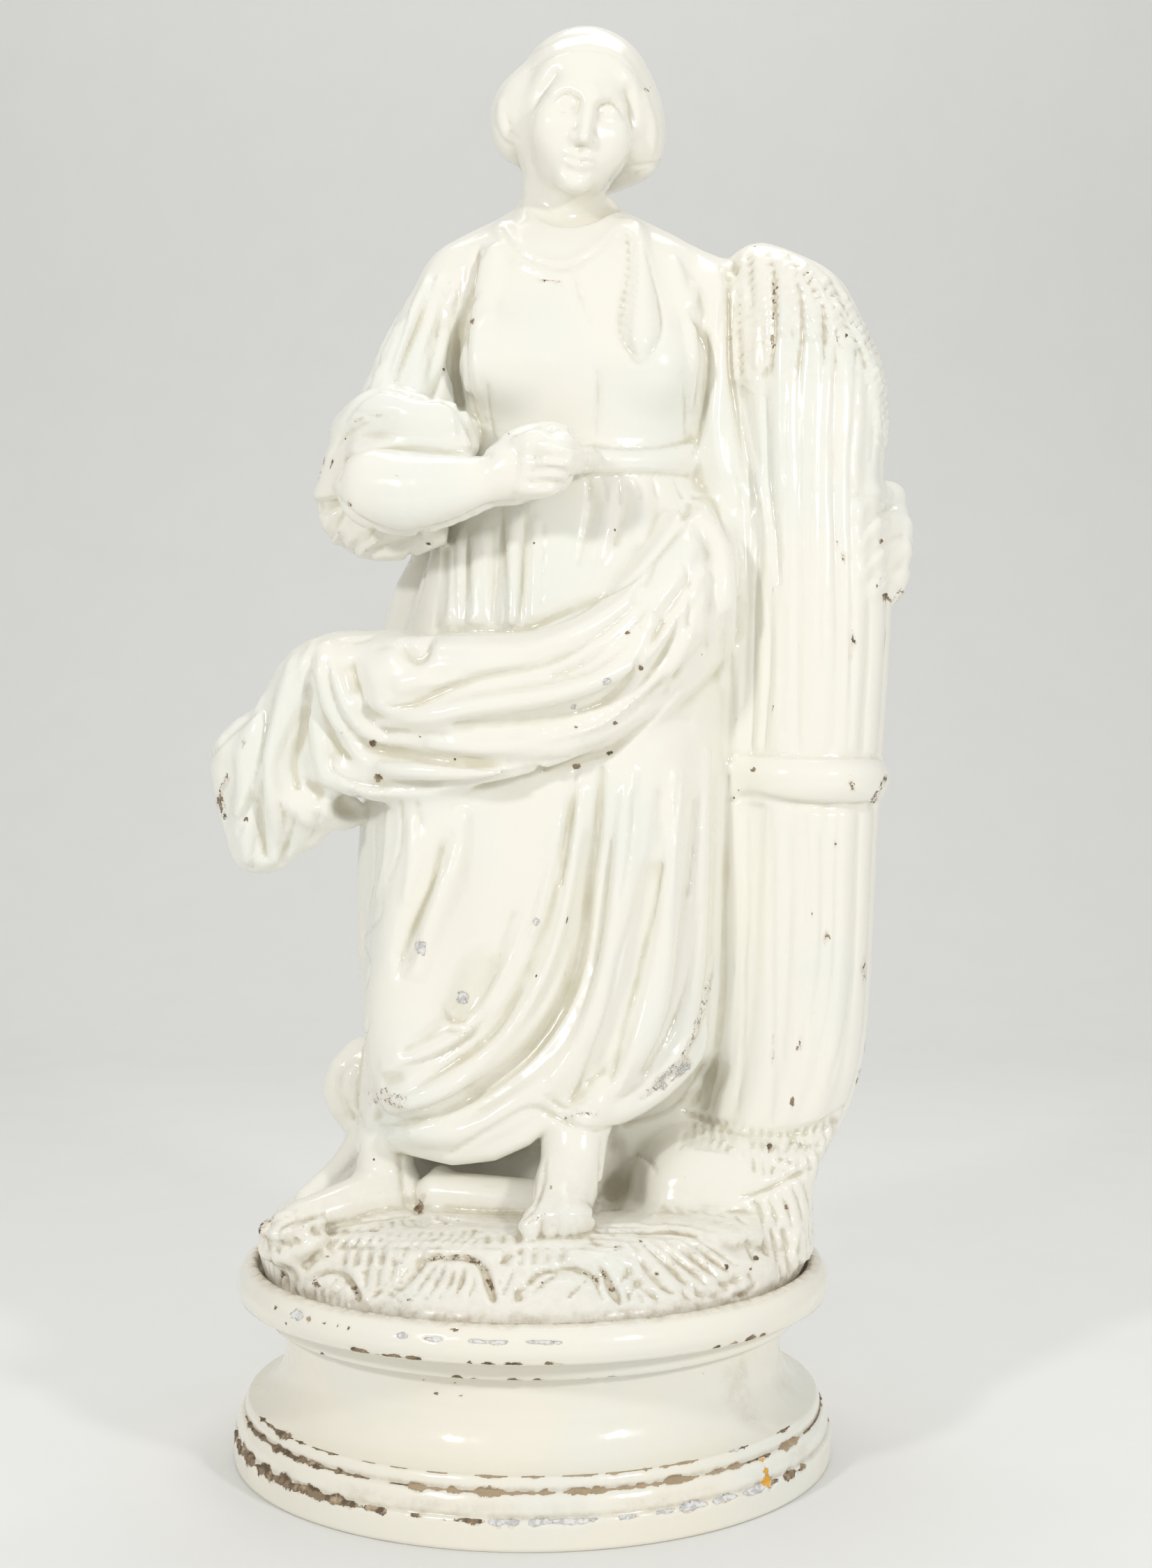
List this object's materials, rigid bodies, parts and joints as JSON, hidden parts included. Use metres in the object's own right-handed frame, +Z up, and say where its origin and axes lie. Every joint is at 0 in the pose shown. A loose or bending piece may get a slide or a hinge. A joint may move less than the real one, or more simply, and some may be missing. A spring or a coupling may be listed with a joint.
{
  "type": "ceramic figurine",
  "caption": "Glazed ceramic figurine of a draped standing woman beside a tall wheat sheaf on a rocky mound, seated in the dished top of a round moulded socle.",
  "frame": {"origin": "centre of the socle's flat underside", "axes": "+Z up through the figure, +X to the viewer's right, -Y towards the viewer in front"},
  "size_m": [0.2756, 0.2326, 0.556],
  "materials": {
    "figure_glaze": "cream-white gloss glaze, pooled and slightly green-grey in the hollows, with brown pinholes, chips and grime",
    "socle_glaze": "cream-white gloss glaze, worn through to brown and grey-blue body along the mouldings' edges"
  },
  "bodies": {
    "root": {"figure": "figure_glaze", "socle": "socle_glaze"}
  },
  "joints": []
}
